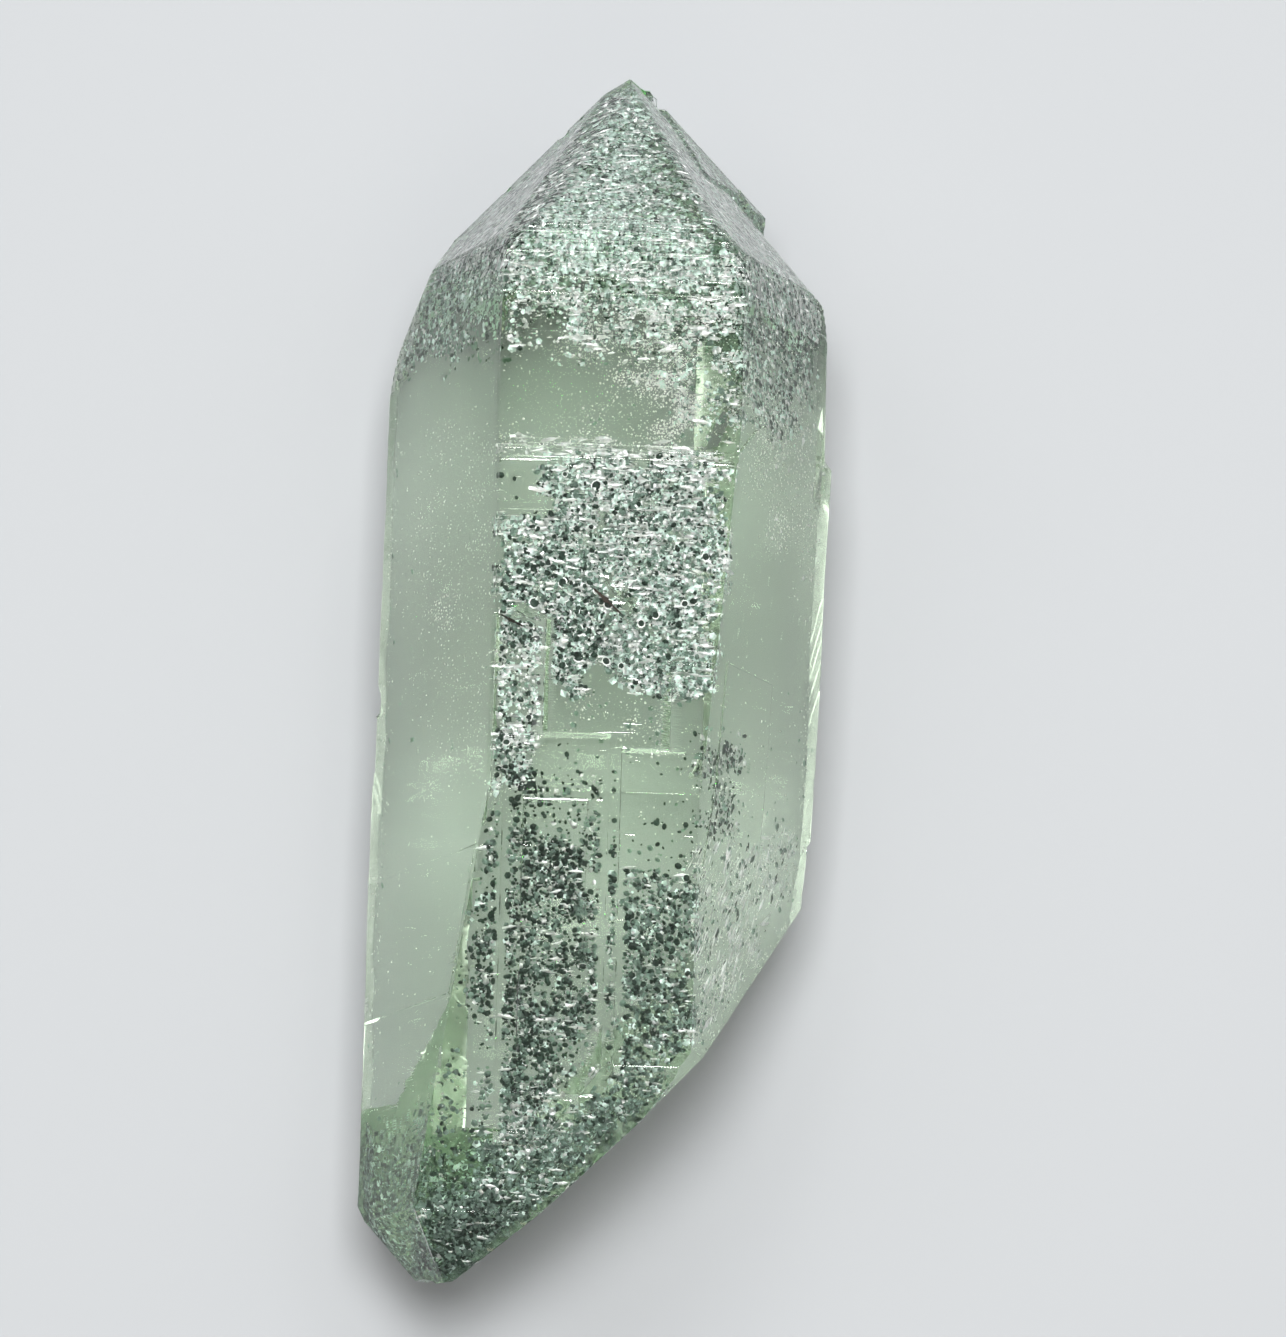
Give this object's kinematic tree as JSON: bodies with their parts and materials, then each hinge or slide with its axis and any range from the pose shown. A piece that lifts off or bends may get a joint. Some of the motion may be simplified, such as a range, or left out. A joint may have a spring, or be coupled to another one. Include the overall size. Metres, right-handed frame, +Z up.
{
  "type": "quartz crystal",
  "caption": "Doubly terminated six-sided quartz crystal with a stepped cap, a tapered lower end and plateaus on its faces, lying on one prism face.",
  "frame": {"origin": "centre of the bounding box in X and Y, on the plane of the prism face that the crystal rests on", "axes": "+Y along the crystal's length towards the sharp upper point, +Z up out of the front prism face, +X to the right of the front view"},
  "size_m": [0.0174, 0.0486, 0.0149],
  "materials": {
    "quartz": "clear pale green rock crystal, glossy natural faces",
    "chlorite": "small dark green to silvery mineral flakes just under the faces",
    "iron_stain": "dull brown-black iron stain in the short cracks of the front face"
  },
  "bodies": {
    "root": {"quartz_crystal": "quartz"}
  },
  "joints": []
}
